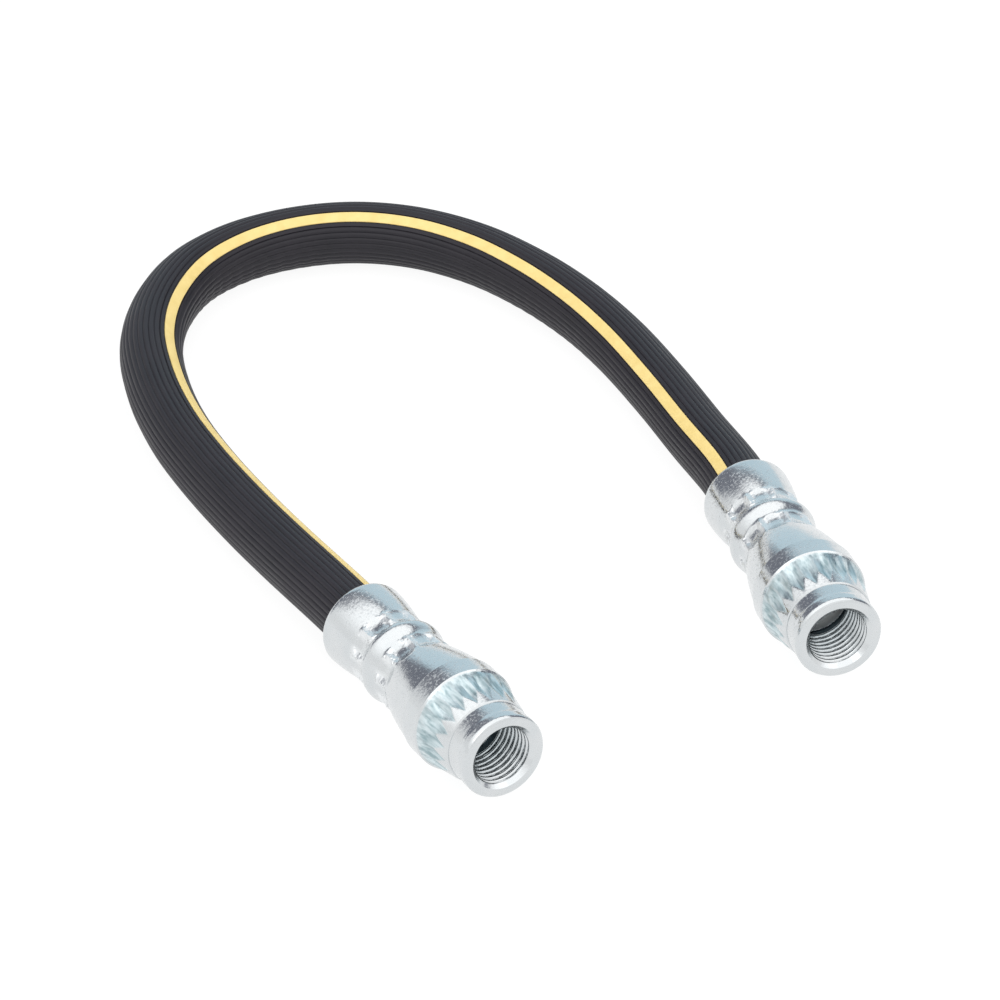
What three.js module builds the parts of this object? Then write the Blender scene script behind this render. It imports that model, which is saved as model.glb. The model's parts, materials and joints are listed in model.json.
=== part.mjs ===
// A brake hose: a ribbed rubber hose of 10 mm with a crimped steel end fitting at each end.
// Millimetres, +Z up. The two ports face the front (-Y) and the hose bends back in a loop.
import * as THREE from "three";

// Clearance between pieces that touch in the real assembly
const CLEARANCE = 0.3;

// Hose
const HOSE_RADIUS = 5;
const HOSE_BORE_RADIUS = 1.7;
const HOSE_SIDES = 12;
const HOSE_STEPS = 44;

// Insert: the thin steel tube that holds the hose bore open under the crimp
const INSERT_RADIUS = HOSE_BORE_RADIUS * Math.cos(Math.PI / HOSE_SIDES) - CLEARANCE;
const INSERT_BORE_RADIUS = 0.9;
const INSERT_REACH = 24;
const INSERT_SIDES = 24;

// Port: M10x1 thread at its minor diameter, countersink, undercut and flat seat
const THREAD_MINOR_RADIUS = 4.46;
const THREAD_RUNOUT = 0.4;
const COUNTERSINK_RADIUS = 5.15;
const COUNTERSINK_DEPTH = 0.7;
const PORT_DEPTH = 10.5;
const UNDERCUT_RADIUS = 5.1;
const UNDERCUT_LENGTH = 1.7;
const WEB_THICKNESS = 5;

// Neck and hub, from the port face back
const RIM_CHAMFER = 0.5;
const NECK_RADIUS = 6.65;
const NECK_LENGTH = 4.7;
const NECK_LINE_DEPTH = 0.08;
const NECK_LINE_WIDTH = 0.35;
const NECK_LINE_AT = 2.2;
const HUB_AT = 4.85;
const HUB_RADIUS = 6.78;

// Serrated collar
const TEETH = 20;
const TOOTH_ROOT_RADIUS = 6.87;
const TOOTH_RUNOUT = 3.4;
const ROOT_END_AT = 11;
const CREST_START_RADIUS = 7.35;
const CREST_START_AT = 7.5;
const COLLAR_AT = 11.2;
const COLLAR_CREST_RADIUS = 7.95;
const COLLAR_CHAMFER = 0.35;
const COLLAR_RADIUS = 8.25;
const COLLAR_WIDTH = 3.3;
const COLLAR_STEP = 0.2;

// Body dome, crimped rings and mouth
const BODY_END_RADIUS = 6.4;
const BODY_CROWN = 0.15;
const CRIMP_FAR_AT = 25.2;
const CRIMP_NEAR_AT = 32.5;
const CRIMP_HALF_WIDTH = 1.75;
const JAWS = 10;
const JAW_RADIUS = 5.8;
const BURR_HEIGHT = 0.22;
const BURR_START = 0.9;
const RING_EDGE_RADIUS = 6.15;
const RING_CROWN = 0.4;
const MOUTH_RING_RADIUS = 6.9;
const MOUTH_RING_CROWN = 0.15;
const FITTING_LENGTH = 42.2;
const LIP_LENGTH = 1.2;
const MOUTH_RING_AT = FITTING_LENGTH - LIP_LENGTH;
const LIP_THICKNESS = 0.25;

// How the fittings lie: each on its collar and on its mouth ring
const SPLAY = THREE.MathUtils.degToRad(6.4);
const LAND_END = COLLAR_AT + COLLAR_CHAMFER + COLLAR_WIDTH;
const TILT = Math.atan((COLLAR_RADIUS - MOUTH_RING_RADIUS) / (MOUTH_RING_AT - LAND_END));
const ENDS_APART = 56.7;
const LEFT_IN_FRONT = 7;

// Route of the free hose, from the right fitting round the bend to the left one
const ROUTE = [
  [34.3, 43.8, 5.6],
  [34.7, 57.8, 5.2],
  [34.3, 72.8, 5.05],
  [32.6, 84.8, 5.05],
  [29.3, 96.3, 5.05],
  [24.3, 106.8, 5.05],
  [17.2, 115.3, 5.05],
  [8.6, 120.7, 5.05],
  [-1.2, 123, 5.05],
  [-11, 122.4, 5.05],
  [-20.2, 118.6, 5.05],
  [-28.2, 110.9, 5.05],
  [-33.7, 101.4, 5.05],
  [-37, 89.4, 5.05],
  [-38.4, 77, 5.05],
  [-38.2, 64.8, 5.05],
  [-37.1, 51.8, 5.2],
  [-35.8, 40.8, 5.5],
];
const STRAIGHT_LEAD = 7;

const STEPS_AROUND = TEETH * 4;
const SOCKET_AT = PORT_DEPTH + WEB_THICKNESS;
const SOCKET_RADIUS = HOSE_RADIUS + CLEARANCE;
const HOSE_END_AT = SOCKET_AT + CLEARANCE;

const steel = new THREE.MeshStandardMaterial({ color: 0xc9d3d8, roughness: 0.3, metalness: 1 });
const innerSteel = new THREE.MeshStandardMaterial({ color: 0xa9b0b4, roughness: 0.4, metalness: 1 });
const rubber = new THREE.MeshStandardMaterial({ color: 0x2c2c31, roughness: 0.6, metalness: 0 });

const mix = THREE.MathUtils.lerp;

// Stations (radius, distance) on a stretch that is straight but for a crown in its middle
function crowned(at0, radius0, at1, radius1, crown, steps) {
  return Array.from({ length: steps + 1 }, (_, i) => {
    const t = i / steps;
    const radius = mix(radius0, radius1, t) + crown * 4 * t * (1 - t);
    return new THREE.Vector2(radius, mix(at0, at1, t));
  });
}

// 0 at the root of a serration and 1 at its crest
function tooth(angle) {
  const turn = (angle / (2 * Math.PI)) * TEETH;
  return 1 - Math.abs(2 * (turn - Math.floor(turn)) - 1);
}

// Radius of the grooves pressed into the hub cone, which run out at the collar
function serrated(angle, at) {
  const t = Math.max((at - CREST_START_AT) / (COLLAR_AT - CREST_START_AT), 0);
  const crest = mix(CREST_START_RADIUS, COLLAR_CREST_RADIUS, t);
  const rise = Math.min((at - HUB_AT) / (ROOT_END_AT - HUB_AT), 1) ** TOOTH_RUNOUT;
  const root = mix(TOOTH_ROOT_RADIUS, COLLAR_CREST_RADIUS, rise);
  return root + Math.max(crest - root, 0) * tooth(angle);
}

// Radius that the crimping jaws leave: flat across each jaw, hollow along it, and a burr in each gap
function pressed(angle, at, centre) {
  const share = (2 * Math.PI) / JAWS;
  const off = Math.abs(angle / share - Math.round(angle / share)) * share;
  const hollow = (RING_EDGE_RADIUS - JAW_RADIUS) * ((at - centre) / CRIMP_HALF_WIDTH) ** 2;
  const burr = off > BURR_START * (share / 2) ? BURR_HEIGHT : 0;
  return (JAW_RADIUS + hollow) / Math.cos(off) + burr;
}

// Outline of the fitting as turned, before the collar is serrated and the sleeve crimped
function fittingProfile() {
  const point = (radius, at) => new THREE.Vector2(radius, at);
  const bodyAt = LAND_END + COLLAR_STEP;
  const passage = INSERT_RADIUS + CLEARANCE;
  const lip = SOCKET_RADIUS + LIP_THICKNESS;
  const farEdge = CRIMP_FAR_AT - CRIMP_HALF_WIDTH;
  const ringStart = CRIMP_FAR_AT + CRIMP_HALF_WIDTH;
  const ringEnd = CRIMP_NEAR_AT - CRIMP_HALF_WIDTH;
  const mouthStart = CRIMP_NEAR_AT + CRIMP_HALF_WIDTH;
  return [
    point(COUNTERSINK_RADIUS, 0),
    point(NECK_RADIUS - RIM_CHAMFER, 0),
    point(NECK_RADIUS, RIM_CHAMFER),
    point(NECK_RADIUS, NECK_LINE_AT - NECK_LINE_WIDTH),
    point(NECK_RADIUS - NECK_LINE_DEPTH, NECK_LINE_AT),
    point(NECK_RADIUS - NECK_LINE_DEPTH, NECK_LENGTH),
    ...crowned(HUB_AT, HUB_RADIUS, CREST_START_AT, CREST_START_RADIUS, 0, 3),
    ...crowned(CREST_START_AT, CREST_START_RADIUS, COLLAR_AT, COLLAR_CREST_RADIUS, 0, 4).slice(1),
    point(COLLAR_RADIUS, COLLAR_AT + COLLAR_CHAMFER),
    point(COLLAR_RADIUS, LAND_END),
    ...crowned(bodyAt, COLLAR_RADIUS - COLLAR_STEP, farEdge, BODY_END_RADIUS, BODY_CROWN, 5),
    ...crowned(farEdge, BODY_END_RADIUS, ringStart, RING_EDGE_RADIUS, 0, 4).slice(1),
    ...crowned(ringStart, RING_EDGE_RADIUS, ringEnd, RING_EDGE_RADIUS, RING_CROWN, 4).slice(1),
    ...crowned(ringEnd, RING_EDGE_RADIUS, mouthStart, RING_EDGE_RADIUS, 0, 4).slice(1),
    ...crowned(mouthStart, RING_EDGE_RADIUS, MOUTH_RING_AT, MOUTH_RING_RADIUS, MOUTH_RING_CROWN, 3)
      .slice(1, -1),
    ...lipCurve(lip),
    point(SOCKET_RADIUS, FITTING_LENGTH),
    point(SOCKET_RADIUS, SOCKET_AT),
    point(passage, SOCKET_AT),
    point(passage, PORT_DEPTH),
    point(UNDERCUT_RADIUS, PORT_DEPTH),
    point(UNDERCUT_RADIUS, PORT_DEPTH - UNDERCUT_LENGTH),
    point(THREAD_MINOR_RADIUS, PORT_DEPTH - UNDERCUT_LENGTH - THREAD_RUNOUT),
    point(THREAD_MINOR_RADIUS, COUNTERSINK_DEPTH),
    point(COUNTERSINK_RADIUS, 0),
  ];
}

// Rolled-in end of the sleeve: a quarter of an ellipse from the widest ring to the lip
function lipCurve(lip) {
  const curve = new THREE.EllipseCurve(
    lip, MOUTH_RING_AT,
    MOUTH_RING_RADIUS - lip, LIP_LENGTH,
    0, Math.PI / 2,
  );
  return curve.getPoints(5);
}

// The turned blank with the serrations and the jaw marks pressed into its outside
function fittingGeometry() {
  const geometry = new THREE.LatheGeometry(fittingProfile(), STEPS_AROUND);
  const place = geometry.getAttribute("position");
  for (let i = 0; i < place.count; i++) {
    const at = place.getY(i);
    const radius = Math.hypot(place.getX(i), place.getZ(i));
    const angle = Math.atan2(place.getX(i), place.getZ(i));
    let pressedRadius = radius;
    if (radius > SOCKET_RADIUS + CLEARANCE) {
      for (const centre of [CRIMP_FAR_AT, CRIMP_NEAR_AT]) {
        pressedRadius = Math.min(pressedRadius, pressed(angle, at, centre));
      }
      if (at > HUB_AT && at <= COLLAR_AT) {
        pressedRadius = Math.min(pressedRadius, serrated(angle, at));
      }
    }
    place.setX(i, place.getX(i) * (pressedRadius / radius));
    place.setZ(i, place.getZ(i) * (pressedRadius / radius));
  }
  return geometry;
}

function insertGeometry() {
  const start = PORT_DEPTH + CLEARANCE;
  const end = SOCKET_AT + INSERT_REACH;
  const outline = [
    [INSERT_BORE_RADIUS, start],
    [INSERT_RADIUS, start],
    [INSERT_RADIUS, end],
    [INSERT_BORE_RADIUS, end],
    [INSERT_BORE_RADIUS, start],
  ];
  const points = outline.map(([radius, at]) => new THREE.Vector2(radius, at));
  return new THREE.LatheGeometry(points, INSERT_SIDES);
}

// One end of the hose: the fitting and its insert, tilted as it lies on the ground
function endGroup(side, x, y, splay) {
  const group = new THREE.Group();
  group.position.set(x, y, 0);
  group.rotation.set(-TILT, 0, splay, "ZYX");
  const fitting = new THREE.Mesh(fittingGeometry(), steel);
  fitting.name = "end_fitting_" + side;
  const insert = new THREE.Mesh(insertGeometry(), innerSteel);
  insert.name = "hose_insert_" + side;
  group.add(fitting, insert);
  return group;
}

function ring(radius) {
  return Array.from({ length: HOSE_SIDES }, (_, i) => {
    const angle = (i / HOSE_SIDES) * 2 * Math.PI;
    return new THREE.Vector2(radius * Math.cos(angle), radius * Math.sin(angle));
  });
}

// The hose: straight inside both fittings, along the route between them
function hoseMesh(first, last) {
  const halfway = (HOSE_END_AT + FITTING_LENGTH) / 2;
  const depths = [HOSE_END_AT, halfway, FITTING_LENGTH, FITTING_LENGTH + STRAIGHT_LEAD];
  const along = (group) => depths.map((at) => group.localToWorld(new THREE.Vector3(0, at, 0)));
  const route = ROUTE.map((p) => new THREE.Vector3(...p));
  const path = new THREE.CatmullRomCurve3([...along(first), ...route, ...along(last).reverse()]);
  const section = new THREE.Shape(ring(HOSE_RADIUS));
  section.holes.push(new THREE.Path(ring(HOSE_BORE_RADIUS)));
  const geometry = new THREE.ExtrudeGeometry(section, { steps: HOSE_STEPS, extrudePath: path });
  const hose = new THREE.Mesh(geometry, rubber);
  hose.name = "hose";
  return hose;
}

const rightEnd = endGroup("right", ENDS_APART / 2, LEFT_IN_FRONT / 2, -SPLAY);
const leftEnd = endGroup("left", -ENDS_APART / 2, -LEFT_IN_FRONT / 2, SPLAY);
const ends = new THREE.Group();
ends.add(rightEnd, leftEnd);

// The origin is under the middle of the two fittings, on the ground they lie on
const extent = new THREE.Box3().setFromObject(ends, true);
const middle = extent.getCenter(new THREE.Vector3());
ends.position.set(-middle.x, -middle.y, -extent.min.z);
ends.updateMatrixWorld(true);

const brakeHose = new THREE.Group();
brakeHose.add(ends, hoseMesh(rightEnd, leftEnd));

export default brakeHose;
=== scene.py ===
"""Looks of the brake hose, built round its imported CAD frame. Row frame, metres, +Z up.

The two ends are seen from the ports: depth is the distance into a fitting from its port face.
Turn is the angle round a fitting, in degrees, from its left side (0) over its top (90).
"""

import json
import math

import bpy
import numpy as np
from mathutils import Matrix, Vector, noise

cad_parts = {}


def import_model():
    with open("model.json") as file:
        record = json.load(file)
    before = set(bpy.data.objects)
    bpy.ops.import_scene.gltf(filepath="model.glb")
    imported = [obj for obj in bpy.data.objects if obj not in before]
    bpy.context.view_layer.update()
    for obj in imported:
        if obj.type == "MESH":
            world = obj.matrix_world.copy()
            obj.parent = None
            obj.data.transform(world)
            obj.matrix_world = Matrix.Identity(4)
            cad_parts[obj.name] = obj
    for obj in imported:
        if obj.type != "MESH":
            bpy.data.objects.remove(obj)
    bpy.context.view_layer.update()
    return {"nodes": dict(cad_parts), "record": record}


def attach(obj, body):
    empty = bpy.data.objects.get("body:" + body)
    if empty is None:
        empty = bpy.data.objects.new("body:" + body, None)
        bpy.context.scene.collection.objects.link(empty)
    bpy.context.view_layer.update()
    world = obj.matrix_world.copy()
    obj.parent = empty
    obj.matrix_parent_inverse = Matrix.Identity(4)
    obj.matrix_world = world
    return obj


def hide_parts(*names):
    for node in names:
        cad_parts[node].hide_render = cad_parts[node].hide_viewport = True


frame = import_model()

MM = 0.001

# Camera, as the photograph was taken: metres, and millimetres for its lens and sensor
AIM = Vector((0.0026, 0.0476, 0.0))
CAMERA_AZIMUTH = math.radians(-23.72)
CAMERA_ELEVATION = math.radians(34.34)
CAMERA_DISTANCE = 1.0
CAMERA_NEAR = 0.01
CAMERA_FAR = 20.0
CAMERA_LENS = 234.57
CAMERA_SENSOR = 36.0

# Hose: its whole length in metres, the rest in millimetres. The route runs from right to left.
HOSE_RADIUS = 5.0
HOSE_END_AT = 16.5
FITTING_LENGTH = 42.2
STRAIGHT_LEAD = 7.0
RING_STEP = 0.62
ROUTE_SAMPLES = 40
ROUTE = (
    (34.3, 43.8, 5.6),
    (34.7, 57.8, 5.2),
    (34.3, 72.8, 5.05),
    (32.6, 84.8, 5.05),
    (29.3, 96.3, 5.05),
    (24.3, 106.8, 5.05),
    (17.2, 115.3, 5.05),
    (8.6, 120.7, 5.05),
    (-1.2, 123, 5.05),
    (-11, 122.4, 5.05),
    (-20.2, 118.6, 5.05),
    (-28.2, 110.9, 5.05),
    (-33.7, 101.4, 5.05),
    (-37, 89.4, 5.05),
    (-38.4, 77, 5.05),
    (-38.2, 64.8, 5.05),
    (-37.1, 51.8, 5.2),
    (-35.8, 40.8, 5.5),
)

# Ribs and channel, angles in degrees round the hose from the middle of the stripe.
# A rib's points are its share of the pitch and how far it lies below the crest, as a share of its height.
RIBS = 30
RIB_HEIGHT = 0.17
RIB_POINTS = ((0.12, 0.4), (0.3, 0.1), (0.5, 0.0), (0.7, 0.1), (0.88, 0.4))
SMOOTH_HALF = 20.0
SMOOTH_EDGE = 1.0
SMOOTH_POINTS = 4
CHANNEL_DEPTH = 0.18
CHANNEL_GAP = 1.8
CHANNEL_WALL = 0.6
CHANNEL_POINTS = 5

# Stripe: its section, and its lean from the top of the hose, which dips along one stretch
STRIPE_HALF = 10.5
STRIPE_LIFT = 0.01
STRIPE_ROUND = 0.8
STRIPE_EDGE_DROP = 0.05
STRIPE_POINTS = 7
STRIPE_LEAN = 37.5
STRIPE_LEAN_DIP = 11.0
STRIPE_DIP_AT = 137.0
STRIPE_DIP_BEFORE = 38.0
STRIPE_DIP_AFTER = 20.0

# Compression wrinkles on the inner side of the bend. Each stretch has its middle along the hose, its
# reach and its depth. Each sway has its size, its length and where it starts.
WRINKLE_PITCH = 2.8
WRINKLES = ((152.0, 24.0, 0.14), (95.0, 24.0, 0.06))
WRINKLE_FULL_REACH = 0.4
WRINKLE_TURN = 112.0
WRINKLE_SPREAD = 48.0
WRINKLE_FULL_SPREAD = 0.3
WRINKLE_SWAYS = ((0.8, 9.1, 0.0), (0.5, 3.7, 1.0))
WRINKLE_SLANT = 40.0

# Port of an end fitting
MOUNT_RADIUS = 5.7
COUNTERSINK_RADIUS = 5.15
COUNTERSINK_DEPTH = 0.7
SINK_FOOT_RISE = 0.05
SINK_FOOT_LIFT = 0.04
THREAD_MINOR_RADIUS = 4.46
THREAD_MAJOR_RADIUS = 5.0
THREAD_PITCH = 1.0
THREAD_CREST = 0.25
THREAD_FLANK = 0.3125
THREAD_STARTS_AT = COUNTERSINK_DEPTH - 0.2
THREAD_FULL_AT = COUNTERSINK_DEPTH + 0.5
PORT_DEPTH = 10.5
UNDERCUT_RADIUS = 5.1
UNDERCUT_LENGTH = 1.7
UNDERCUT_CORNER = 0.2
UNDERCUT_AT = PORT_DEPTH - UNDERCUT_LENGTH
SEAT_CONE = 0.25
PASSAGE_RADIUS = 1.64

# Neck, hub and serrated collar
RIM_CHAMFER = 0.5
CHAMFER_BELLY = 0.35
NECK_RADIUS = 6.65
NECK_LENGTH = 4.7
NECK_LINE_AT = 2.2
NECK_LINE_WIDTH = 0.35
NECK_LINE_DEPTH = 0.08
HUB_AT = 4.85
HUB_RADIUS = 6.78
TEETH = 20
TOOTH_ROOT_RADIUS = 6.87
TOOTH_RUNOUT = 3.4
CREST_START_RADIUS = 7.35
CREST_START_AT = 7.5
ROOT_END_AT = 11.0
COLLAR_AT = 11.2
COLLAR_CREST_RADIUS = 7.95
COLLAR_CHAMFER = 0.35
COLLAR_RADIUS = 8.25
COLLAR_WIDTH = 3.3
COLLAR_STEP = 0.2
STEP_GROOVE = 0.12
LAND_END = COLLAR_AT + COLLAR_CHAMFER + COLLAR_WIDTH

# Body dome, crimps and mouth. The near crimp is the one nearer to the mouth.
BODY_END_RADIUS = 6.4
BODY_CROWN = 0.15
CRIMP_FAR_AT = 25.2
CRIMP_NEAR_AT = 32.5
CRIMP_HALF_WIDTH = 1.75
CRIMPS = {"far_gap": CRIMP_FAR_AT, "near_gap": CRIMP_NEAR_AT}
JAWS = 10
JAW_RADIUS = 5.8
RING_EDGE_RADIUS = 6.15
RING_CROWN = 0.65
RING_CROWN_LATE = 1.6
MOUTH_RING_RADIUS = 6.9
MOUTH_RING_CROWN = 0.15
LIP_LENGTH = 1.2
LIP_THICKNESS = 0.25
LIP_BREAK_START = 0.08
LIP_BREAK_HEIGHT = 0.06
LIP_BREAK_END = 0.3
MOUTH_RING_AT = FITTING_LENGTH - LIP_LENGTH
SOCKET_RADIUS = 5.3
SOCKET_MIDDLE = 30.0
SOCKET_FLOOR = 15.5

# Metal squeezed up in the gaps between the jaws, and the crumpled patch round it
BURR_HALF_WIDTH = 0.7
BURR_REACH = 2.2
BURR_FULL_REACH = 0.6
BURR_HEIGHT = 0.3
BURR_RUNOUT = 1.4
PATCH_WIDTHS = 2
PATCH_LEAST = 0.01
CRUMPLE = 0.24
CRUMPLE_SIZE = 0.8
CRUMPLE_SPREAD = 7

# Mesh of a fitting, and the angles in degrees over which an edge is sharp
STEPS_AROUND = 320
OUTSIDE_STEP = 0.35
CRIMP_STEP = 0.13
LIP_POINTS = 9
THREAD_STEPS = 12
SINK_STEP = 0.25
SINK_SOFT_ROWS = 2
FACE_STEP = 0.5
FITTING_SHARP = 30
TUBE_SHARP = 28

# Where the teeth and the gaps between the jaws fall, as turns
ENDS = {
    "right": {"crest": 13.0, "near_gap": 27.0, "far_gap": 23.0, "seed": 3.0},
    "left": {"crest": 0.0, "near_gap": 12.0, "far_gap": 10.0, "seed": 41.0},
}

# How much of a noise is used, by every material
NOISE_LOW = 0.3
NOISE_HIGH = 0.7

# Zinc: colours, among them painted shade and painted blue reflection for the grooves, painted shade for
# deep in the port and its undercut, and painted light for the seat
ZINC_DULL = (0.62, 0.65, 0.665)
ZINC_BRIGHT = (0.67, 0.69, 0.7)
# Painted shade and painted blue reflection in the grooves, streaked from the first to the second
GROOVE_PAINTED_SHADE = (0.26, 0.38, 0.41)
GROOVE_PAINTED_REFLECTION = (0.66, 0.77, 0.8)
BURR_PALE = (0.86, 0.88, 0.89)
# Painted shade, greyer deeper in the port
DEEP_PAINTED_SHADE = (0.36, 0.41, 0.43)
# Painted shade, near black, in the port's undercut
UNDERCUT_PAINTED_SHADE = (0.03, 0.045, 0.055)
# Painted light on the seat at the bottom of the port
SEAT_PAINTED_LIGHT = (0.93, 0.95, 0.95)

# Zinc: where the colours lie, in millimetres, and how much of them shows
GROOVE_EDGE = 0.04
# How much of the grooves' painted shade and reflection shows
GROOVE_PAINT_SHARE = 0.85
KNURL_FADE = 0.4
# Groove share of the whole knurled stretch, which takes the grooves' roughness and their painted shade
# and reflection
KNURL_GROOVE = 0.8
BURR_TINT = 0.7
BORE_EDGE = 5.3
BORE_FADE = 0.1
DEEP_FROM = 1.0
# How much painted shade shows at the inner end of the thread
DEEP_SHADE_SHARE = 0.75
# Where the seat's painted light starts and where it is full
SEAT_STARTS_AT = PORT_DEPTH - 0.05
SEAT_FULL_AT = PORT_DEPTH - 0.02

# Zinc: scales of its noises per metre, their stretch, and bumps as strength and height in metres
CLOUD_SCALE = 260.0
SPECKLE_SCALE = 2600.0
SPECKLE_BUMP = (0.5, 0.00003)
TURNED_STRETCH = (0.15, 1.0, 0.15)
TURNED_BUMP = (0.2, 0.00002)
SCRATCH_SCALE = 2400.0
SCRATCH_STRETCH = (1.0, 0.2, 0.6)
SCRATCH_BUMP = (0.3, 0.00004)
STREAK_SCALE = 1500.0
STREAK_STRETCH = (1.0, 0.1, 1.0)
STREAK_DARK_AT = 0.35
STREAK_PALE_AT = 0.62

# Zinc: roughness, and what the grooves, burrs and speckles add to it
ZINC_ROUGH = (0.12, 0.19)
GROOVE_ROUGH = 0.17
BURR_ROUGH = 0.2
SPECKLE_ROUGH = 0.25
SPECKLE_RANGE = (0.5, 0.7)
SEAT_ROUGH = 0.35
SEAT_METALLIC = 0.6

# Plain steel, rubber and stripe: colours, roughness, noise scales and bumps as above
STEEL_DULL = (0.5, 0.5, 0.51)
STEEL_BRIGHT = (0.62, 0.62, 0.63)
STEEL_ROUGH = (0.3, 0.45)
STEEL_SCALE = 4000.0
STEEL_STRETCH = (1.0, 0.1, 1.0)
STEEL_BUMP = (0.3, 0.00001)
RUBBER_DARK = (0.010, 0.009, 0.014)
RUBBER_DUSTY = (0.017, 0.015, 0.021)
RUBBER_ROUGH = (0.42, 0.54)
RUBBER_SPECULAR = 0.36
RUBBER_SCALE = 160.0
RUBBER_BUMP = (0.4, 0.00002)
STRIPE_DEEP = (0.82, 0.62, 0.22)
STRIPE_PALE = (0.9, 0.7, 0.28)
STRIPE_ROUGH = (0.4, 0.55)
STRIPE_SCALE = 500.0
STRIPE_BUMP = (0.3, 0.00001)
GRAIN_SCALE = 4200.0

# Floor, in metres: a dull white sheet that glows evenly where the camera or the metal sees it
FLOOR_HALF = 3.0
FLOOR_DROP = 0.0001
FLOOR_WHITE = (0.85, 0.85, 0.85, 1)
FLOOR_ROUGH = 0.9
FLOOR_GLOW = 0.85
FLOOR_STRENGTH = 1.08

# Studio: blue panel and the dark frame round it, in degrees: azimuth from the back to the right and
# elevation. CORNERS is the power that rounds the corners of both.
PANEL_BLUE = (0.69, 0.855, 0.94)
PANEL_CENTRE = (28.0, 8.0)
PANEL_HALF = (35.0, 33.0)
PANEL_SOFT = 0.12
FRAME_GREY = (0.22, 0.23, 0.27)
FRAME_HALF = (70.0, 42.0)
FRAME_SOFT = 0.06
CORNERS = 4.0
STUDIO_WHITE = (1.0, 1.0, 1.0)
ZENITH_WHITE = (1.45, 1.45, 1.45)
ZENITH_FROM = 15.0
ZENITH_TO = 45.0
HORIZON = 5.0
HORIZON_FADE = 2

# Lamps: place, side in metres and watts
LAMP_AIM = (0, 0.05, 0)
LAMPS = {
    "key": ((-0.9, -0.5, 1.1), 0.8, 1.2),
    "fill": ((0.9, -0.6, 1.0), 0.9, 0.4),
}


def camera():
    """The photograph's camera."""
    back = Vector((
        math.sin(CAMERA_AZIMUTH) * math.cos(CAMERA_ELEVATION),
        -math.cos(CAMERA_AZIMUTH) * math.cos(CAMERA_ELEVATION),
        math.sin(CAMERA_ELEVATION),
    ))
    made = bpy.data.objects.new("camera", bpy.data.cameras.new("camera"))
    made.data.sensor_width = CAMERA_SENSOR
    made.data.lens = CAMERA_LENS
    made.data.clip_start = CAMERA_NEAR
    made.data.clip_end = CAMERA_FAR
    made.location = AIM + back * CAMERA_DISTANCE
    made.rotation_euler = (-back).to_track_quat("-Z", "Y").to_euler()
    bpy.context.scene.collection.objects.link(made)
    bpy.context.scene.camera = made


def end_matrix(side):
    """Where a fitting lies: its own axes are right, into the port and up, from the middle of the rim."""
    mount = next(m for m in frame["record"]["mounts"] if m["name"] == "port_face_" + side)
    inward = -Vector(mount["axis"]).normalized()
    right = inward.cross(Vector((0, 0, 1))).normalized()
    up = right.cross(inward)
    rim = Vector(mount["pos_m"]) - up * MOUNT_RADIUS * MM
    made = Matrix((right, inward, up)).transposed().to_4x4()
    made.translation = rim
    return made


def smooth_step(low, high, value):
    """0 below low, 1 above high and an easy curve between."""
    t = np.clip((value - low) / (high - low), 0, 1)
    return t * t * (3 - 2 * t)


def through(points, samples):
    """A centripetal curve through the points, as many samples on each span."""
    points = np.array(points, float)
    points = np.vstack([2 * points[0] - points[1], points, 2 * points[-1] - points[-2]])
    t = np.linspace(0, 1, samples, endpoint=False)[:, None]
    line = []
    for before, start, end, after in zip(points, points[1:], points[2:], points[3:]):
        gap0 = np.linalg.norm(start - before) ** 0.5
        gap1 = np.linalg.norm(end - start) ** 0.5
        gap2 = np.linalg.norm(after - end) ** 0.5
        leave = (start - before) / gap0 - (end - before) / (gap0 + gap1) + (end - start) / gap1
        arrive = (end - start) / gap1 - (after - start) / (gap1 + gap2) + (after - end) / gap2
        leave = leave * gap1
        arrive = arrive * gap1
        square = 3 * (end - start) - 2 * leave - arrive
        cube = 2 * (start - end) + leave + arrive
        line.append(start + leave * t + square * t**2 + cube * t**3)
    return np.vstack([*line, points[-2:-1]])


def hose_line():
    """Evenly spaced ring centres of the hose in metres, from the right socket to the left one.

    Also gives each ring's distance along the hose in millimetres.
    """
    halfway = (HOSE_END_AT + FITTING_LENGTH) / 2
    depths = (HOSE_END_AT, halfway, FITTING_LENGTH, FITTING_LENGTH + STRAIGHT_LEAD)
    ends = []
    for side in ("right", "left"):
        place = end_matrix(side)
        ends.append([tuple(place @ Vector((0, depth * MM, 0))) for depth in depths])
    route = [tuple(x * MM for x in point) for point in ROUTE]
    line = through(ends[0] + route + ends[1][::-1], ROUTE_SAMPLES)
    along = np.concatenate([[0], np.cumsum(np.linalg.norm(np.diff(line, axis=0), axis=1))])
    at = np.linspace(0, along[-1], round(along[-1] / (RING_STEP * MM)) + 1)
    return np.stack([np.interp(at, along, line[:, k]) for k in range(3)], axis=1), at / MM


def hose_frames(line):
    """At each ring centre, the directions up and towards the inner side of the loop."""
    tangent = np.gradient(line, axis=0)
    tangent /= np.linalg.norm(tangent, axis=1)[:, None]
    inner = np.cross((0.0, 0.0, 1.0), tangent)
    inner /= np.linalg.norm(inner, axis=1)[:, None]
    return np.cross(tangent, inner), inner


def stripe_lean(at):
    """Degrees from the top of the hose to the middle of the stripe, towards the inner side."""
    width = np.where(at < STRIPE_DIP_AT, STRIPE_DIP_BEFORE, STRIPE_DIP_AFTER)
    return STRIPE_LEAN - STRIPE_LEAN_DIP * np.exp(-(((at - STRIPE_DIP_AT) / width) ** 2))


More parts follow.
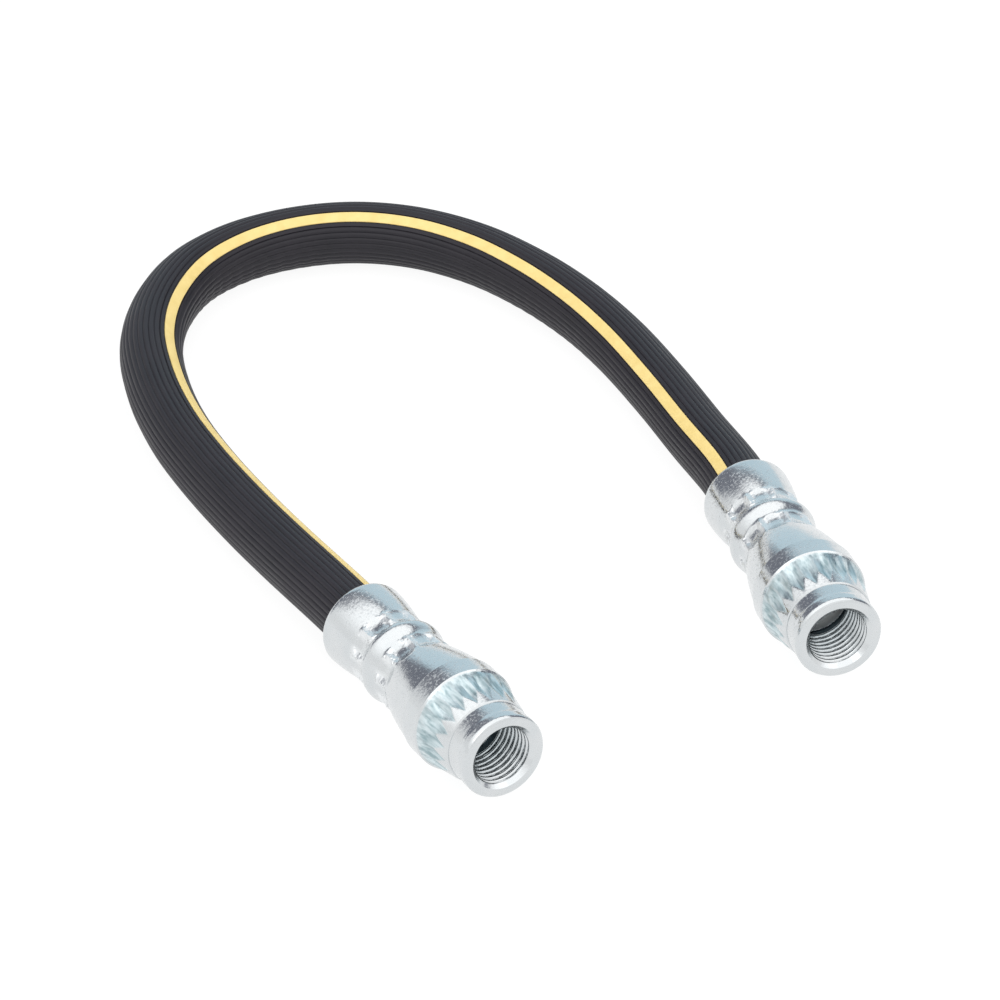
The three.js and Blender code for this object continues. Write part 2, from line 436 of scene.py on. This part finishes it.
def hose_section():
    """Angles from the stripe and radii of the hose's section: channel, smooth shoulders and ribs."""
    half = STRIPE_HALF + CHANNEL_GAP
    edge = half + CHANNEL_WALL
    shoulder = SMOOTH_HALF - SMOOTH_EDGE
    pitch = (360 - 2 * SMOOTH_HALF) / RIBS
    section = [(a, HOSE_RADIUS - CHANNEL_DEPTH) for a in np.linspace(-half, half, CHANNEL_POINTS)]
    section += [(a, HOSE_RADIUS) for a in np.linspace(edge, shoulder, SMOOTH_POINTS)]
    for rib in range(RIBS):
        start = SMOOTH_HALF + rib * pitch
        section.append((start, HOSE_RADIUS - RIB_HEIGHT))
        section += [(start + share * pitch, HOSE_RADIUS - low * RIB_HEIGHT) for share, low in RIB_POINTS]
    section.append((360 - SMOOTH_HALF, HOSE_RADIUS - RIB_HEIGHT))
    section += [(360 - a, HOSE_RADIUS) for a in np.linspace(shoulder, edge, SMOOTH_POINTS)]
    return np.array(section)


def stripe_section():
    """Section of the yellow strip that fills the channel, all but flush with the hose."""
    flat = STRIPE_HALF - STRIPE_ROUND
    top = HOSE_RADIUS + STRIPE_LIFT
    edge = HOSE_RADIUS - STRIPE_EDGE_DROP
    low = HOSE_RADIUS - CHANNEL_DEPTH + STRIPE_LIFT
    crown = [(a, top) for a in np.linspace(-flat, flat, STRIPE_POINTS)]
    sides = [(STRIPE_HALF, edge), (STRIPE_HALF, low), (-STRIPE_HALF, low), (-STRIPE_HALF, edge)]
    return np.array(crown + sides)


def wrinkled(radius, at, turn):
    """Radii with the bend's compression wrinkles taken off. turn is in degrees from the top, inwards."""
    off = np.abs((turn - WRINKLE_TURN + 180) % 360 - 180)
    inside = 1 - smooth_step(WRINKLE_FULL_SPREAD * WRINKLE_SPREAD, WRINKLE_SPREAD, off)
    depth = np.zeros_like(at)
    for middle, reach, height in WRINKLES:
        fade = smooth_step(WRINKLE_FULL_REACH, 1.0, np.abs(at - middle) / reach)
        depth = np.maximum(depth, height * (1 - fade))
    sway = sum(size * np.sin(at / length + start) for size, length, start in WRINKLE_SWAYS)
    valley = 0.5 + 0.5 * np.cos(2 * math.pi * at / WRINKLE_PITCH + sway + turn / WRINKLE_SLANT)
    return radius - depth * inside * valley**2


def mesh_object(name, points, faces, sharp):
    """A smooth shaded mesh with sharp edges over that many degrees and its faces turned outwards."""
    mesh = bpy.data.meshes.new(name)
    mesh.from_pydata(np.asarray(points).tolist(), [], faces)
    mesh.update()
    corner = np.zeros(len(mesh.vertices) * 3)
    mesh.vertices.foreach_get("co", corner)
    corner = corner.reshape(-1, 3)
    mesh.calc_loop_triangles()
    triangles = np.zeros(len(mesh.loop_triangles) * 3, int)
    mesh.loop_triangles.foreach_get("vertices", triangles)
    a, b, c = (corner[triangles[k::3]] for k in range(3))
    if np.einsum("ij,ij->", a, np.cross(b, c)) < 0:
        mesh.flip_normals()
    mesh.polygons.foreach_set("use_smooth", np.ones(len(mesh.polygons), bool))
    mesh.set_sharp_from_angle(angle=math.radians(sharp))
    made = bpy.data.objects.new(name, mesh)
    bpy.context.scene.collection.objects.link(made)
    return made


def tube(name, line, at, section):
    """A closed mesh of rings along the line. section holds (angle from the stripe, radius)."""
    up, inner = hose_frames(line)
    turn = stripe_lean(at)[:, None] + section[:, 0]
    radius = wrinkled(section[:, 1], at[:, None], turn)
    angle = np.radians(turn)[:, :, None]
    outward = np.cos(angle) * up[:, None] + np.sin(angle) * inner[:, None]
    points = line[:, None] + radius[:, :, None] * MM * outward
    rings, sides = turn.shape
    index = np.arange(rings * sides).reshape(rings, sides)
    beside = np.roll(index, -1, axis=1)
    quads = np.stack([index[:-1], index[1:], beside[1:], beside[:-1]], axis=-1).reshape(-1, 4)
    faces = quads.tolist() + [index[0].tolist(), index[-1][::-1].tolist()]
    return mesh_object(name, points.reshape(-1, 3), faces, TUBE_SHARP)


def stretch(start, end, step, crown=0.0, late=1.0):
    """Stations (depth, radius) from start to just before end.

    The crown's top is in the middle, or nearer to the end if late is over 1.
    """
    count = max(1, math.ceil(math.dist(start, end) / step))
    t = np.arange(count) / count
    bow = t**late
    depth = start[0] + (end[0] - start[0]) * t
    radius = start[1] + (end[1] - start[1]) * t + crown * 4 * bow * (1 - bow)
    return list(zip(depth, radius))


def outside_stations():
    """Outline of the turned blank, from the rim to the lip."""
    line_edge = NECK_RADIUS - NECK_LINE_DEPTH
    belly = RIM_CHAMFER * CHAMFER_BELLY
    body = (LAND_END + 2 * STEP_GROOVE, COLLAR_RADIUS - COLLAR_STEP)
    corners = [
        (0.0, NECK_RADIUS - RIM_CHAMFER),
        (belly, NECK_RADIUS - belly),
        (RIM_CHAMFER, NECK_RADIUS),
        (NECK_LINE_AT - NECK_LINE_WIDTH, NECK_RADIUS),
        (NECK_LINE_AT, line_edge),
        (NECK_LENGTH, line_edge),
        (HUB_AT, HUB_RADIUS),
        (CREST_START_AT, CREST_START_RADIUS),
        (COLLAR_AT, COLLAR_CREST_RADIUS),
        (COLLAR_AT + COLLAR_CHAMFER, COLLAR_RADIUS),
        (LAND_END, COLLAR_RADIUS),
        (LAND_END + STEP_GROOVE, COLLAR_RADIUS - COLLAR_STEP - STEP_GROOVE),
        body,
    ]
    stations = []
    for start, end in zip(corners, corners[1:]):
        stations += stretch(start, end, OUTSIDE_STEP)
    far_start = (CRIMP_FAR_AT - CRIMP_HALF_WIDTH, BODY_END_RADIUS)
    ring_start = (CRIMP_FAR_AT + CRIMP_HALF_WIDTH, RING_EDGE_RADIUS)
    ring_end = (CRIMP_NEAR_AT - CRIMP_HALF_WIDTH, RING_EDGE_RADIUS)
    mouth_start = (CRIMP_NEAR_AT + CRIMP_HALF_WIDTH, RING_EDGE_RADIUS)
    mouth_end = (MOUTH_RING_AT, MOUTH_RING_RADIUS)
    stations += stretch(body, far_start, OUTSIDE_STEP, BODY_CROWN)
    stations += stretch(far_start, ring_start, CRIMP_STEP)
    stations += stretch(ring_start, ring_end, CRIMP_STEP, RING_CROWN, RING_CROWN_LATE)
    stations += stretch(ring_end, mouth_start, CRIMP_STEP)
    stations += stretch(mouth_start, mouth_end, CRIMP_STEP * 2, MOUTH_RING_CROWN)
    lip = SOCKET_RADIUS + LIP_THICKNESS
    for t in np.linspace(0, math.pi / 2, LIP_POINTS):
        depth = MOUTH_RING_AT + LIP_LENGTH * math.sin(t)
        stations.append((depth, lip + (MOUTH_RING_RADIUS - lip) * math.cos(t)))
    return stations


def inside_stations():
    """Outline of the socket, the passage and the seat, from the lip to the undercut."""
    return [
        (FITTING_LENGTH - LIP_BREAK_START, SOCKET_RADIUS + LIP_BREAK_HEIGHT),
        (FITTING_LENGTH - LIP_BREAK_END, SOCKET_RADIUS),
        (SOCKET_MIDDLE, SOCKET_RADIUS),
        (SOCKET_FLOOR, SOCKET_RADIUS),
        (SOCKET_FLOOR, PASSAGE_RADIUS),
        (PORT_DEPTH + SEAT_CONE, PASSAGE_RADIUS),
        (PORT_DEPTH, PASSAGE_RADIUS + SEAT_CONE),
        (PORT_DEPTH, (PASSAGE_RADIUS + UNDERCUT_RADIUS) / 2),
        (PORT_DEPTH, UNDERCUT_RADIUS - UNDERCUT_CORNER),
        (PORT_DEPTH - UNDERCUT_CORNER, UNDERCUT_RADIUS),
        (UNDERCUT_AT + UNDERCUT_CORNER, UNDERCUT_RADIUS),
    ]


def thread_stations():
    """Stations of the threaded bore, from its inner end out to the countersink."""
    count = round((UNDERCUT_AT - COUNTERSINK_DEPTH) / THREAD_PITCH * THREAD_STEPS)
    depths = np.linspace(UNDERCUT_AT, COUNTERSINK_DEPTH, count + 1)
    return [(depth, THREAD_MINOR_RADIUS) for depth in depths]


def face_stations():
    """Stations of the countersink and the flat rim face, out to the rim's chamfer."""
    foot = (COUNTERSINK_DEPTH - SINK_FOOT_RISE, THREAD_MINOR_RADIUS + SINK_FOOT_LIFT)
    edge = (0.0, COUNTERSINK_RADIUS)
    return stretch(foot, edge, SINK_STEP) + stretch(edge, (0.0, NECK_RADIUS - RIM_CHAMFER), FACE_STEP)


def thread_radius(depth, angle):
    """Radius of the helical thread: flat crests, 60 degree flanks and narrow roots."""
    turn = (depth / THREAD_PITCH + angle / (2 * math.pi)) % 1.0
    flank = (np.minimum(turn, 1 - turn) - THREAD_CREST / 2) / THREAD_FLANK
    rise = np.clip(flank, 0, 1)
    fade = smooth_step(THREAD_STARTS_AT, THREAD_FULL_AT, depth)
    return THREAD_MINOR_RADIUS + (THREAD_MAJOR_RADIUS - THREAD_MINOR_RADIUS) * rise * fade


def serrated(depth, turn, crest_at):
    """Radius of the hollow grooves pressed into the hub cone, running out at the collar."""
    share = (turn - crest_at) / (360 / TEETH)
    tooth = 1 - 2 * np.abs(share - np.round(share))
    t = np.maximum((depth - CREST_START_AT) / (COLLAR_AT - CREST_START_AT), 0)
    crest = CREST_START_RADIUS + (COLLAR_CREST_RADIUS - CREST_START_RADIUS) * t
    rise = np.clip((depth - HUB_AT) / (ROOT_END_AT - HUB_AT), 0, 1) ** TOOTH_RUNOUT
    root = TOOTH_ROOT_RADIUS + (COLLAR_CREST_RADIUS - TOOTH_ROOT_RADIUS) * rise
    return root + np.maximum(crest - root, 0) * tooth


def gap_distance(turn, gap_at):
    """Degrees to the nearest gap between two jaws."""
    share = (turn - gap_at) / (360 / JAWS)
    return (share - np.round(share)) * (360 / JAWS)


def pressed(depth, turn, centre, gap_at):
    """Radius that the jaws leave: flat across each jaw and hollow along it."""
    from_middle = np.radians(180 / JAWS - np.abs(gap_distance(turn, gap_at)))
    hollow = (RING_EDGE_RADIUS - JAW_RADIUS) * ((depth - centre) / CRIMP_HALF_WIDTH) ** 2
    return (JAW_RADIUS + hollow) / np.cos(from_middle)


def crumpled(radius, depth, turn, centre, gap_at, seed):
    """Radii with the burr in each gap between the jaws and the crumpled, foil-like facets round it.

    Also gives how far each point lies in such a patch, from 0 to 1.
    """
    width = np.abs(np.radians(gap_distance(turn, gap_at))) * radius
    along = depth - centre
    ridge = np.clip(1 - width / BURR_HALF_WIDTH, 0, 1)
    reach = 1 - smooth_step(BURR_FULL_REACH * BURR_REACH, BURR_REACH, np.abs(along))
    runout = np.clip(BURR_RUNOUT - np.abs(along) / CRIMP_HALF_WIDTH, 0, 1)
    patch = np.clip(PATCH_WIDTHS - width / BURR_HALF_WIDTH, 0, 1) * reach
    radius = radius + BURR_HEIGHT * ridge * reach * runout
    for index in np.flatnonzero(patch > PATCH_LEAST):
        arc = math.radians(turn.flat[index]) * RING_EDGE_RADIUS
        spot = Vector((arc, along.flat[index], seed + centre)) / CRUMPLE_SIZE
        middle = noise.voronoi(spot)[1][0]
        lean = noise.cell_vector(middle * CRUMPLE_SPREAD) - Vector((0.5, 0.5, 0.5))
        radius.flat[index] += CRUMPLE * patch.flat[index] * lean.dot(spot - middle)
    return radius, patch


def worked(radius, depth, turn, marks):
    """Radii of the outside once it is serrated and crimped, and each point's share of groove and burr."""
    shape = radius
    for gap, centre in CRIMPS.items():
        shape = np.minimum(shape, pressed(depth, turn, centre, marks[gap]))
    teeth = (depth > HUB_AT) & (depth <= COLLAR_AT)
    lowered = np.where(teeth, np.minimum(shape, serrated(depth, turn, marks["crest"])), shape)
    knurled = smooth_step(CREST_START_AT - KNURL_FADE, CREST_START_AT + KNURL_FADE, depth) * teeth
    # The groove share carries the grooves' roughness and their painted shade and reflection
    groove = np.maximum(np.clip((shape - lowered) / GROOVE_EDGE, 0, 1), KNURL_GROOVE * knurled)
    burr = np.zeros_like(depth)
    for gap, centre in CRIMPS.items():
        lowered, patch = crumpled(lowered, depth, turn, centre, marks[gap], marks["seed"])
        burr = np.maximum(burr, patch)
    return lowered, groove, burr


def fitting(side):
    """An end fitting: turned blank, serrated collar, crimped sleeve and threaded port."""
    outside = outside_stations()
    inside = inside_stations()
    thread = thread_stations()
    stations = np.array(outside + inside + thread + face_stations())
    angle = np.arange(STEPS_AROUND) / STEPS_AROUND * 2 * math.pi
    depth = stations[:, :1] + 0 * angle
    radius = stations[:, 1:] + 0 * angle
    turn = np.degrees(angle) + 90 + 0 * depth
    groove = np.zeros_like(radius)
    burr = np.zeros_like(radius)
    skin = slice(0, len(outside))
    made = worked(radius[skin], depth[skin], turn[skin], ENDS[side])
    radius[skin], groove[skin], burr[skin] = made
    bore = slice(len(outside + inside), len(outside + inside + thread))
    radius[bore] = thread_radius(depth[bore], angle)
    own = np.stack([radius * np.sin(angle), depth, radius * np.cos(angle)], axis=-1)
    own = own.reshape(-1, 3) * MM
    place = np.array(end_matrix(side))
    points = own @ place[:3, :3].T + place[:3, 3]
    rows, sides = radius.shape
    index = np.arange(rows * sides).reshape(rows, sides)
    after = np.roll(index, -1, axis=0)
    quads = np.stack([index, after, np.roll(after, -1, axis=1), np.roll(index, -1, axis=1)], axis=-1)
    end = mesh_object("fitting_" + side, points, quads.reshape(-1, 4).tolist(), FITTING_SHARP)
    store(end.data, "own_place", "FLOAT_VECTOR", "vector", own)
    store(end.data, "groove", "FLOAT", "value", groove)
    store(end.data, "burr", "FLOAT", "value", burr)
    soften(end.data, bore.start * sides, (bore.stop + SINK_SOFT_ROWS) * sides)
    return end


def store(mesh, name, kind, field, values):
    """Keeps a value at each vertex for the materials to read."""
    made = mesh.attributes.new(name, kind, "POINT")
    made.data.foreach_set(field, values.ravel())


def soften(mesh, first, last):
    """Takes the sharp edges away between the vertices from first to just before last."""
    ends = np.zeros(len(mesh.edges) * 2, int)
    mesh.edges.foreach_get("vertices", ends)
    within = ((ends >= first) & (ends < last)).reshape(-1, 2).all(axis=1)
    sharp = np.zeros(len(mesh.edges), bool)
    mesh.edges.foreach_get("use_edge_sharp", sharp)
    mesh.edges.foreach_set("use_edge_sharp", sharp & ~within)


class Shader:
    """Short hand for making the nodes of a material or a world."""

    def __init__(self, owner, body="Principled BSDF"):
        owner.use_nodes = True
        self.owner = owner
        self.tree = owner.node_tree
        self.body = self.tree.nodes[body]

    def node(self, kind, settings=None, **inputs):
        made = self.tree.nodes.new(kind)
        for key, value in (settings or {}).items():
            setattr(made, key, value)
        for key, value in inputs.items():
            self.put(made.inputs[key.replace("_", " ")], value)
        return made

    def put(self, socket, value):
        if isinstance(value, bpy.types.NodeSocket):
            self.tree.links.new(value, socket)
        else:
            socket.default_value = value

    def set(self, **inputs):
        for key, value in inputs.items():
            self.put(self.body.inputs[key.replace("_", " ")], value)

    def attribute(self, name, output="Fac"):
        return self.node("ShaderNodeAttribute", {"attribute_name": name}).outputs[output]

    def math(self, operation, one, other=0.0):
        made = self.node("ShaderNodeMath", {"operation": operation})
        self.put(made.inputs[0], one)
        self.put(made.inputs[1], other)
        return made.outputs[0]

    def times(self, one, other):
        return self.math("MULTIPLY", one, other)

    def noise(self, place, scale, detail=3.0, rough=0.55):
        made = self.node("ShaderNodeTexNoise", Vector=place, Scale=scale, Detail=detail, Roughness=rough)
        return made.outputs["Fac"]

    def ramp(self, value, first, last):
        """Colours between two stops, each with its place and its colour."""
        made = self.node("ShaderNodeValToRGB")
        self.put(made.inputs["Fac"], value)
        for element, (at, colour) in zip(made.color_ramp.elements, (first, last)):
            element.position = at
            element.color = (*colour, 1)
        return made.outputs["Color"]

    def remap(self, value, low, high, to_low=0.0, to_high=1.0):
        made = self.node("ShaderNodeMapRange")
        for socket, number in zip(made.inputs, (value, low, high, to_low, to_high)):
            self.put(socket, number)
        return made.outputs["Result"]

    def stretched(self, place, scale):
        made = self.node("ShaderNodeMapping", Vector=place)
        made.inputs["Scale"].default_value = scale
        return made.outputs["Vector"]

    def bump(self, height, strength, distance, normal=None):
        made = self.node("ShaderNodeBump", Height=height, Strength=strength, Distance=distance)
        if normal is not None:
            self.put(made.inputs["Normal"], normal)
        return made.outputs["Normal"]

    def mix(self, factor, one, other):
        made = self.node("ShaderNodeMix", {"data_type": "RGBA"})
        for socket, value in zip((made.inputs[0], made.inputs[6], made.inputs[7]), (factor, one, other)):
            self.put(socket, value)
        return made.outputs[2]


def port_shares(s, place):
    """How far a point lies in the bore, deep in it, in its undercut and on its seat, from 0 to 1. These
    carry painted shade in the bore and undercut and painted light on the seat.
    """
    split = s.node("ShaderNodeSeparateXYZ", Vector=place)
    depth = split.outputs["Y"]
    squares = [s.math("POWER", split.outputs[axis], 2.0) for axis in "XZ"]
    across = s.math("SQRT", s.math("ADD", *squares))
    bore = s.remap(across, BORE_EDGE * MM, (BORE_EDGE - BORE_FADE) * MM)
    deep = s.remap(depth, DEEP_FROM * MM, UNDERCUT_AT * MM, 0.0, DEEP_SHADE_SHARE)
    hidden = s.remap(depth, UNDERCUT_AT * MM, (UNDERCUT_AT + UNDERCUT_CORNER) * MM)
    seat = s.remap(depth, SEAT_STARTS_AT * MM, SEAT_FULL_AT * MM)
    return bore, s.times(bore, deep), s.times(bore, hidden), s.times(bore, seat)


def zinc_material():
    """Bright zinc plating: speckled and scratchy, rougher in the grooves and painted there with shade and
    blue reflection, painted with shade deeper in the port and darkest in its undercut, and painted with
    light on the seat.
    """
    s = Shader(bpy.data.materials.new("zinc"))
    place = s.attribute("own_place", "Vector")
    groove = s.attribute("groove")
    burr = s.attribute("burr")
    bore, deep, hidden, seat = port_shares(s, place)
    cloud = s.noise(place, CLOUD_SCALE, 4.0)
    speckle = s.noise(place, SPECKLE_SCALE, 1.5, 0.6)
    turned = s.noise(s.stretched(place, TURNED_STRETCH), SPECKLE_SCALE, 1.0)
    scratch = s.noise(s.stretched(place, SCRATCH_STRETCH), SCRATCH_SCALE, 1.0)
    streak = s.noise(s.stretched(place, STREAK_STRETCH), STREAK_SCALE, 2.0)

    # Painted shade and painted blue reflection for the grooves, streaked from dark to pale
    groove_shade_reflection = s.ramp(streak, (STREAK_DARK_AT, GROOVE_PAINTED_SHADE), (STREAK_PALE_AT, GROOVE_PAINTED_REFLECTION))
    colour = s.ramp(cloud, (NOISE_LOW, ZINC_DULL), (NOISE_HIGH, ZINC_BRIGHT))
    colour = s.mix(s.times(groove, GROOVE_PAINT_SHARE), colour, groove_shade_reflection)
    colour = s.mix(s.times(burr, BURR_TINT), colour, (*BURR_PALE, 1))
    # Painted shade, growing deeper into the port
    colour = s.mix(deep, colour, (*DEEP_PAINTED_SHADE, 1))
    # Painted shade in the undercut
    colour = s.mix(hidden, colour, (*UNDERCUT_PAINTED_SHADE, 1))
    # Painted light on the seat, with its own roughness and metallic below
    colour = s.mix(seat, colour, (*SEAT_PAINTED_LIGHT, 1))

    plain = s.math("SUBTRACT", 1.0, bore)
    rough = s.remap(cloud, NOISE_LOW, NOISE_HIGH, *ZINC_ROUGH)
    rough = s.math("ADD", rough, s.times(groove, GROOVE_ROUGH))
    rough = s.math("ADD", rough, s.times(burr, BURR_ROUGH))
    rough = s.math("ADD", rough, s.times(plain, s.remap(speckle, *SPECKLE_RANGE, 0.0, SPECKLE_ROUGH)))
    rough = s.math("MAXIMUM", rough, s.remap(seat, 0.0, 1.0, 0.0, SEAT_ROUGH))

    normal = s.bump(speckle, *SPECKLE_BUMP)
    normal = s.bump(turned, *TURNED_BUMP, normal)
    normal = s.bump(scratch, *SCRATCH_BUMP, normal)
    metallic = s.remap(seat, 0.0, 1.0, 1.0, SEAT_METALLIC)
    s.set(Base_Color=colour, Metallic=metallic, Roughness=rough, Normal=normal)
    return s.owner


def steel_material():
    """Plain drawn steel of the inserts."""
    s = Shader(bpy.data.materials.new("drawn_steel"))
    place = s.node("ShaderNodeTexCoord").outputs["Object"]
    lines = s.noise(s.stretched(place, STEEL_STRETCH), STEEL_SCALE)
    s.set(
        Base_Color=s.ramp(lines, (NOISE_LOW, STEEL_DULL), (NOISE_HIGH, STEEL_BRIGHT)),
        Metallic=1.0,
        Roughness=s.remap(lines, NOISE_LOW, NOISE_HIGH, *STEEL_ROUGH),
        Normal=s.bump(lines, *STEEL_BUMP),
    )
    return s.owner


def rubber_material():
    """Extruded black rubber: slightly dusty, with a fine grain."""
    s = Shader(bpy.data.materials.new("rubber"))
    place = s.node("ShaderNodeTexCoord").outputs["Object"]
    cloud = s.noise(place, RUBBER_SCALE, 4.0)
    grain = s.noise(place, GRAIN_SCALE, 3.0, 0.6)
    s.set(
        Base_Color=s.ramp(cloud, (NOISE_LOW, RUBBER_DARK), (NOISE_HIGH, RUBBER_DUSTY)),
        Roughness=s.remap(cloud, NOISE_LOW, NOISE_HIGH, *RUBBER_ROUGH),
        Specular_IOR_Level=RUBBER_SPECULAR,
        Normal=s.bump(grain, *RUBBER_BUMP),
    )
    return s.owner


def stripe_material():
    """Yellow lay stripe, a little uneven."""
    s = Shader(bpy.data.materials.new("stripe_yellow"))
    place = s.node("ShaderNodeTexCoord").outputs["Object"]
    cloud = s.noise(place, STRIPE_SCALE, 4.0)
    grain = s.noise(place, GRAIN_SCALE, 3.0, 0.6)
    s.set(
        Base_Color=s.ramp(cloud, (NOISE_LOW, STRIPE_DEEP), (NOISE_HIGH, STRIPE_PALE)),
        Roughness=s.remap(grain, NOISE_LOW, NOISE_HIGH, *STRIPE_ROUGH),
        Normal=s.bump(grain, *STRIPE_BUMP),
    )
    return s.owner


def floor():
    """A plain white floor that keeps the object's soft shadow."""
    half = FLOOR_HALF
    corners = [(-half, -half, 0), (half, -half, 0), (half, half, 0), (-half, half, 0)]
    mesh = bpy.data.meshes.new("floor")
    mesh.from_pydata(corners, [], [(0, 1, 2, 3)])
    made = bpy.data.objects.new("floor", mesh)
    made.location.z = -FLOOR_DROP
    bpy.context.scene.collection.objects.link(made)
    s = Shader(bpy.data.materials.new("floor"))
    s.set(Base_Color=FLOOR_WHITE, Roughness=FLOOR_ROUGH, Specular_IOR_Level=0.0)
    path = s.node("ShaderNodeLightPath")
    seen = s.math("MAXIMUM", path.outputs["Is Camera Ray"], path.outputs["Is Glossy Ray"])
    seen = s.math("MAXIMUM", seen, path.outputs["Is Transmission Ray"])
    glow = s.node("ShaderNodeEmission", Color=(1, 1, 1, 1), Strength=FLOOR_STRENGTH)
    both = s.node("ShaderNodeMixShader")
    s.put(both.inputs[0], s.times(seen, FLOOR_GLOW))
    s.put(both.inputs[1], s.body.outputs[0])
    s.put(both.inputs[2], glow.outputs[0])
    s.put(s.tree.nodes["Material Output"].inputs["Surface"], both.outputs[0])
    mesh.materials.append(s.owner)


def world():
    """A white studio with a pale blue panel at the back, inside a dark frame."""
    s = Shader(bpy.data.worlds.new("studio"), "Background")
    split = s.node("ShaderNodeSeparateXYZ", Vector=s.node("ShaderNodeTexCoord").outputs["Generated"])
    azimuth = s.math("DEGREES", s.math("ARCTAN2", split.outputs["X"], split.outputs["Y"]))
    elevation = s.math("DEGREES", s.math("ARCSINE", split.outputs["Z"]))

    def beyond(half, soft):
        """0 inside a rounded rectangle of directions round the panel's centre and 1 outside it."""
        wide = s.math("DIVIDE", s.math("SUBTRACT", azimuth, PANEL_CENTRE[0]), half[0])
        high = s.math("DIVIDE", s.math("SUBTRACT", elevation, PANEL_CENTRE[1]), half[1])
        total = s.math("ADD", s.math("POWER", wide, CORNERS), s.math("POWER", high, CORNERS))
        return s.remap(s.math("POWER", total, 1 / CORNERS), 1 - soft, 1 + soft)

    climb = s.remap(elevation, ZENITH_FROM, ZENITH_TO)
    bright = s.ramp(climb, (0.0, STUDIO_WHITE), (1.0, ZENITH_WHITE))
    colour = s.mix(beyond(PANEL_HALF, PANEL_SOFT), (*PANEL_BLUE, 1), (*FRAME_GREY, 1))
    colour = s.mix(beyond(FRAME_HALF, FRAME_SOFT), colour, bright)
    low = s.remap(elevation, HORIZON, HORIZON + HORIZON_FADE, 1.0, 0.0)
    s.put(s.body.inputs["Color"], s.mix(low, colour, (*STUDIO_WHITE, 1)))
    bpy.context.scene.world = s.owner


def lamp(name, place, size, power):
    """A soft square lamp aimed at the middle of the object."""
    made = bpy.data.objects.new(name, bpy.data.lights.new(name, "AREA"))
    made.data.shape = "SQUARE"
    made.data.size = size
    made.data.energy = power
    made.location = place
    made.rotation_euler = (Vector(LAMP_AIM) - made.location).to_track_quat("-Z", "Y").to_euler()
    bpy.context.scene.collection.objects.link(made)


def build():
    camera()
    line, at = hose_line()
    hose = tube("hose_tube", line, at, hose_section())
    hose.data.materials.append(rubber_material())
    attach(hose, "root")
    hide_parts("hose")
    stripe = tube("hose_stripe", line, at, stripe_section())
    stripe.data.materials.append(stripe_material())
    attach(stripe, "root")
    mouth = end_matrix("right") @ Vector((0, FITTING_LENGTH * MM, 0))
    zinc = zinc_material()
    steel = steel_material()
    for side in ENDS:
        end = fitting(side)
        end.data.materials.append(zinc)
        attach(end, "root")
        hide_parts("end_fitting_" + side)
        insert = frame["nodes"]["hose_insert_" + side]
        for place in insert.material_slots:
            place.material = steel
    floor()
    world()
    for name, (place, size, power) in LAMPS.items():
        lamp(name, place, size, power)
    bpy.context.scene.view_settings.view_transform = "Standard"


build()
